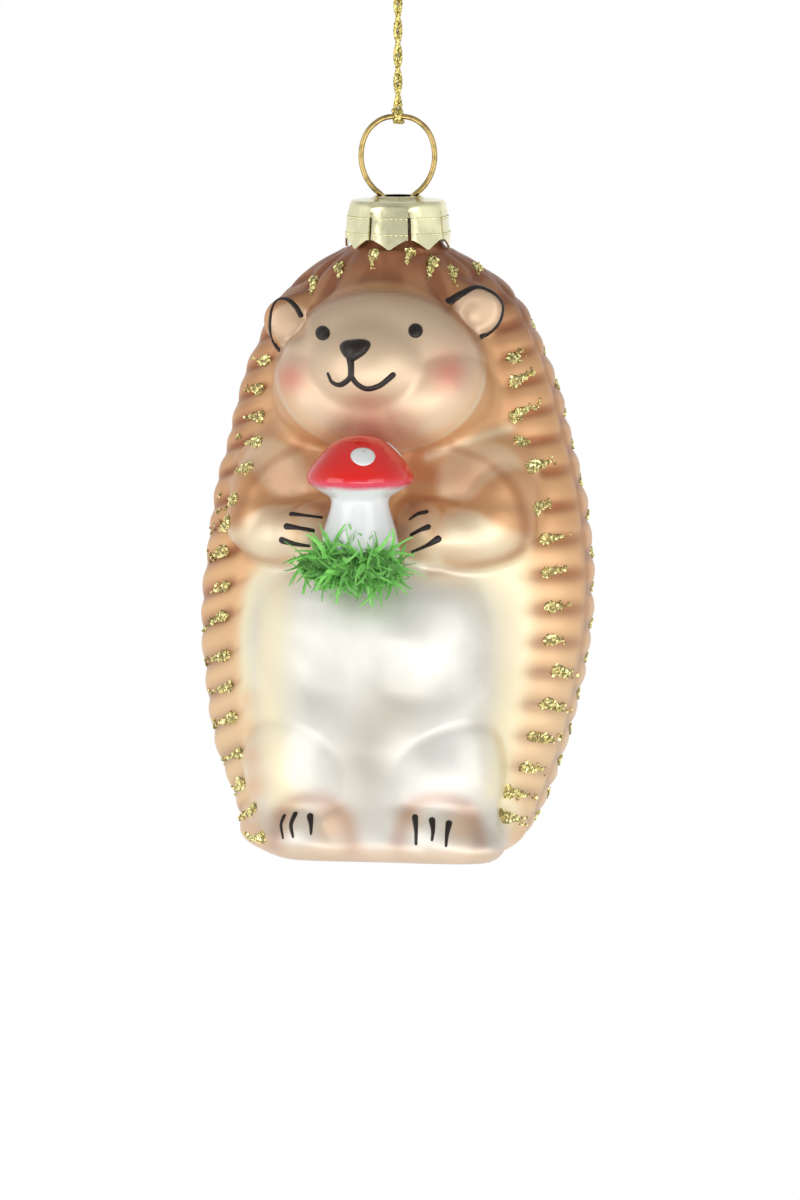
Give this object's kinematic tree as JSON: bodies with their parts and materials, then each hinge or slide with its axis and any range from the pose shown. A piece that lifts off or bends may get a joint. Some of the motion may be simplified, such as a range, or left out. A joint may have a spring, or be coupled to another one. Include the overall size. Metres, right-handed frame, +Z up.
{
  "type": "hanging glass hedgehog ornament",
  "caption": "Hollow blown-glass hedgehog ornament holding a toadstool in a tuft of grass, with glitter on its quills, a gold crown cap, a wire hanger ring and a gold hanging thread.",
  "frame": {"origin": "on the flat base, straight under the middle of the neck", "axes": "+Z up along the neck's axis, the face looks towards -Y, +X on the viewer's right"},
  "size_m": [0.0608, 0.0575, 0.1526],
  "materials": {
    "painted_glass": "pearl lacquer over opaque painted glass",
    "cap_gold": "pale gold stamped metal",
    "hanger_brass": "drawn brass-coloured spring wire",
    "gold_thread": "metallic gold thread",
    "mushroom_lacquer": "glossy red cap on a white stem",
    "spot_white": "gloss white paint",
    "grass_fibre": "shredded green fibre",
    "glue": "set glue",
    "enamel": "gloss dark enamel",
    "glitter": "gold and clear glitter in varnish"
  },
  "bodies": {
    "figure": {"glass_body": "painted_glass", "mushroom": "mushroom_lacquer", "mushroom_spots": "spot_white", "grass_tuft": "grass_fibre", "glue_pad": "glue", "eyes": "enamel", "nose": "enamel", "glitter_right": "glitter", "glitter_left": "glitter", "glitter_back": "glitter", "glitter_crown": "glitter"},
    "cap": {"cap": "cap_gold"},
    "hanger": {"hanger_wire": "hanger_brass"},
    "thread": {"thread_hitch": "gold_thread", "thread_left": "gold_thread", "thread_right": "gold_thread", "thread_knot": "gold_thread", "thread_eye": "gold_thread"}
  },
  "joints": [
    {"name": "cap_lift", "type": "slide", "parent": "figure", "child": "cap", "axis": [0, 0, 1], "range_m": [0, 0.025]},
    {"name": "hanger_turn", "type": "hinge", "parent": "cap", "child": "hanger", "pos_m": [0, 0, 0.0983], "axis": [0, 0, 1], "continuous": true},
    {"name": "thread_swing", "type": "hinge", "parent": "hanger", "child": "thread", "pos_m": [0, 0, 0.11025], "axis": [0.9703, 0.2419, 0], "range_deg": [-135, 135]}
  ]
}
